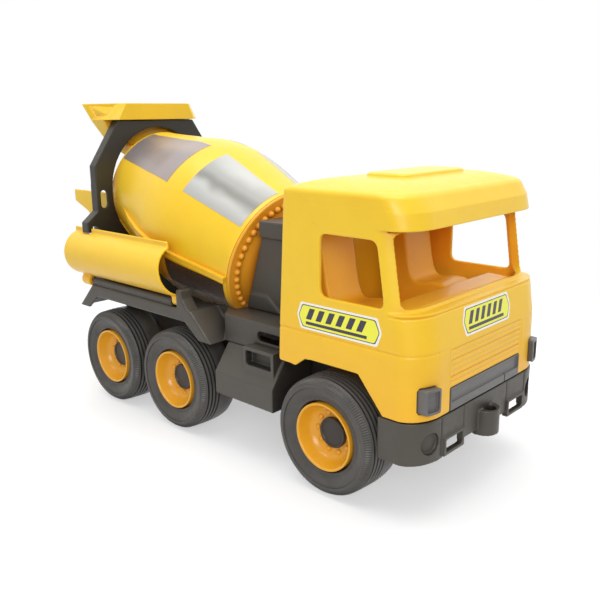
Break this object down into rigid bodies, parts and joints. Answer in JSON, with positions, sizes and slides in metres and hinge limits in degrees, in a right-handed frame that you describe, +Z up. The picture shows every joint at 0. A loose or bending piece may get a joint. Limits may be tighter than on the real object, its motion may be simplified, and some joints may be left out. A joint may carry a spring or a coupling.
{
  "type": "toy cement mixer truck",
  "caption": "Toy cement mixer truck with a spinning tilted drum, flared hopper, hinged side chute, rolling wheels with deep rims and a windowed cab with a step bumper.",
  "frame": {"origin": "on the ground under the middle of the whole truck's box, which the stowed chute makes a little wider on the right side", "axes": "+X forward along the truck, +Y to the driver's left, +Z up"},
  "size_m": [0.3804, 0.1578, 0.2328],
  "materials": {
    "yellow_plastic": "moulded polypropylene, soft gloss",
    "interior_plastic": "moulded polypropylene, soft gloss",
    "rim_plastic": "moulded polypropylene, soft gloss",
    "dark_plastic": "moulded, fine satin",
    "tyre_rubber": "soft satin with moulded tread",
    "cap_plastic": "satin",
    "grey_plastic": "satin",
    "steel": "drawn wire and zinc-plated screws",
    "silver_foil": "self-adhesive mirror foil with a soft brushed haze",
    "printed_label": null
  },
  "bodies": {
    "truck": {"axle_front": "steel", "axle_middle": "steel", "axle_rear": "steel", "screw_rear_left": "steel", "screw_rear_right": "steel", "screw_platform_left": "steel", "screw_platform_right": "steel", "screw_cab_left": "steel", "screw_cab_right": "steel", "chassis_frame": "dark_plastic", "deck": "dark_plastic", "side_box_left": "dark_plastic", "side_box_right": "dark_plastic", "front_bumper": "dark_plastic", "drum_pedestal": "dark_plastic", "rear_frame": "dark_plastic", "cab_shell": "yellow_plastic", "hopper": "yellow_plastic", "discharge_spout": "yellow_plastic", "cab_interior": "interior_plastic", "grille_insert": "grey_plastic", "headlight_left": "grey_plastic", "headlight_right": "grey_plastic", "chute_hinge_rod": "steel"},
    "wheel_front_left": {"tyre_front_left": "tyre_rubber", "rim_front_left": "rim_plastic", "hub_cap_front_left": "cap_plastic"},
    "wheel_front_right": {"tyre_front_right": "tyre_rubber", "rim_front_right": "rim_plastic", "hub_cap_front_right": "cap_plastic"},
    "wheel_middle_left": {"tyre_middle_left": "tyre_rubber", "rim_middle_left": "rim_plastic", "hub_cap_middle_left": "cap_plastic"},
    "wheel_middle_right": {"tyre_middle_right": "tyre_rubber", "rim_middle_right": "rim_plastic", "hub_cap_middle_right": "cap_plastic"},
    "wheel_rear_left": {"tyre_rear_left": "tyre_rubber", "rim_rear_left": "rim_plastic", "hub_cap_rear_left": "cap_plastic"},
    "wheel_rear_right": {"tyre_rear_right": "tyre_rubber", "rim_rear_right": "rim_plastic", "hub_cap_rear_right": "cap_plastic"},
    "drum": {"drum_upper_shell": "yellow_plastic", "drum_lower_shell": "yellow_plastic", "drum_front_plate": "yellow_plastic", "drum_pin": "steel"},
    "chute": {"chute": "yellow_plastic"}
  },
  "joints": [
    {"name": "wheel_front_left_spin", "type": "hinge", "parent": "truck", "child": "wheel_front_left", "pos_m": [0.11645, 0.0624, 0.037], "axis": [0, 1, 0], "continuous": true},
    {"name": "wheel_front_right_spin", "type": "hinge", "parent": "truck", "child": "wheel_front_right", "pos_m": [0.11645, -0.0556, 0.037], "axis": [0, 1, 0], "continuous": true},
    {"name": "wheel_middle_left_spin", "type": "hinge", "parent": "truck", "child": "wheel_middle_left", "pos_m": [-0.02805, 0.0624, 0.037], "axis": [0, 1, 0], "continuous": true},
    {"name": "wheel_middle_right_spin", "type": "hinge", "parent": "truck", "child": "wheel_middle_right", "pos_m": [-0.02805, -0.0556, 0.037], "axis": [0, 1, 0], "continuous": true},
    {"name": "wheel_rear_left_spin", "type": "hinge", "parent": "truck", "child": "wheel_rear_left", "pos_m": [-0.10815, 0.0624, 0.037], "axis": [0, 1, 0], "continuous": true},
    {"name": "wheel_rear_right_spin", "type": "hinge", "parent": "truck", "child": "wheel_rear_right", "pos_m": [-0.10815, -0.0556, 0.037], "axis": [0, 1, 0], "continuous": true},
    {"name": "drum_spin", "type": "hinge", "parent": "truck", "child": "drum", "pos_m": [0.01035, 0.0034, 0.1213], "axis": [0.9537, 0, -0.3007], "continuous": true},
    {"name": "chute_swing", "type": "hinge", "parent": "truck", "child": "chute", "pos_m": [-0.08125, -0.0646, 0.095], "axis": [1, 0, 0], "range_deg": [0, 85]}
  ]
}
